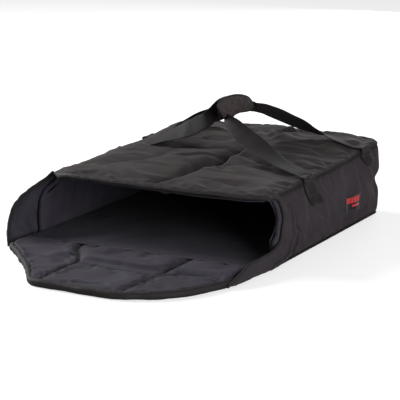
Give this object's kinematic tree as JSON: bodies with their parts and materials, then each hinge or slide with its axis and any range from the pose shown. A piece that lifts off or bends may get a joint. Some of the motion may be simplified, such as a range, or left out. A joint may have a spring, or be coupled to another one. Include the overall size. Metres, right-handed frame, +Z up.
{
  "type": "pizza delivery bag",
  "caption": "Soft insulated delivery bag, open at the front, with a padded fold-up mouth flap, side gussets and two webbing handles joined by a padded grip.",
  "frame": {"origin": "on the floor under the middle of the padded body's base", "axes": "+Z up; the mouth and its flap face -Y; the label and the wrapped handle are on the +X side"},
  "size_m": [0.4631, 0.7263, 0.2277],
  "materials": {
    "outer_nylon": "matt coated woven nylon",
    "lining_nylon": "soft quilted woven nylon",
    "foam": "needled polyester wadding",
    "webbing": "coarse woven webbing",
    "binding": "ribbed binding tape",
    "hook_and_loop": "hook and loop pile",
    "label": "woven satin label"
  },
  "bodies": {
    "shell": {"base_lining": "lining_nylon", "base_outer": "outer_nylon", "base_pad": "foam", "base_welt": "binding", "left_front_anchor": "webbing", "left_gusset": "lining_nylon", "left_gusset_binding": "binding", "left_lining": "lining_nylon", "left_outer": "outer_nylon", "left_pad": "foam", "left_rear_anchor": "webbing", "rear_lining": "lining_nylon", "rear_outer": "outer_nylon", "rear_pad": "foam", "right_front_anchor": "webbing", "right_gusset": "outer_nylon", "right_gusset_binding": "binding", "right_lining": "lining_nylon", "right_outer": "outer_nylon", "right_pad": "foam", "right_rear_anchor": "webbing", "top_front_hem": "binding", "top_lining": "lining_nylon", "top_outer": "outer_nylon", "top_pad": "foam", "top_welt": "binding", "woven_label": "label"},
    "flap": {"flap_left_binding": "binding", "flap_lining": "lining_nylon", "flap_outer": "outer_nylon", "flap_pad": "foam", "flap_right_binding": "binding"},
    "flap_tip": {"flap_tip_lining": "lining_nylon", "flap_tip_outer": "outer_nylon", "flap_tip_pad": "foam", "tip_binding": "binding"},
    "right_handle": {"grip_loop_strip": "hook_and_loop", "grip_wrap": "outer_nylon", "right_webbing": "webbing"},
    "left_handle": {"left_webbing": "webbing"},
    "grip_flap": {"grip_flap": "outer_nylon", "grip_hook_strip": "hook_and_loop"}
  },
  "joints": [
    {"name": "flap_hinge", "type": "hinge", "parent": "shell", "child": "flap", "pos_m": [0, -0.2628, 0.0118], "axis": [-1, 0, 0], "range_deg": [0, 90], "deforming": ["left_gusset", "left_gusset_binding", "right_gusset", "right_gusset_binding"]},
    {"name": "flap_tip_fold", "type": "hinge", "parent": "flap", "child": "flap_tip", "pos_m": [0, -0.3825, 0.0118], "axis": [-1, 0, 0], "range_deg": [0, 90]},
    {"name": "right_handle_swing", "type": "hinge", "parent": "shell", "child": "right_handle", "pos_m": [0.2304, 0.0225, 0.12577], "axis": [0, 0.9996, 0.0297], "range_deg": [0, 165]},
    {"name": "left_handle_swing", "type": "hinge", "parent": "shell", "child": "left_handle", "pos_m": [-0.2214, 0.083, 0.10907], "axis": [0, -0.9995, -0.0303], "range_deg": [0, 165]},
    {"name": "grip_flap_fold", "type": "hinge", "parent": "right_handle", "child": "grip_flap", "pos_m": [0.015, 0, 0.227], "axis": [0, -1, 0], "range_deg": [0, 150]}
  ]
}
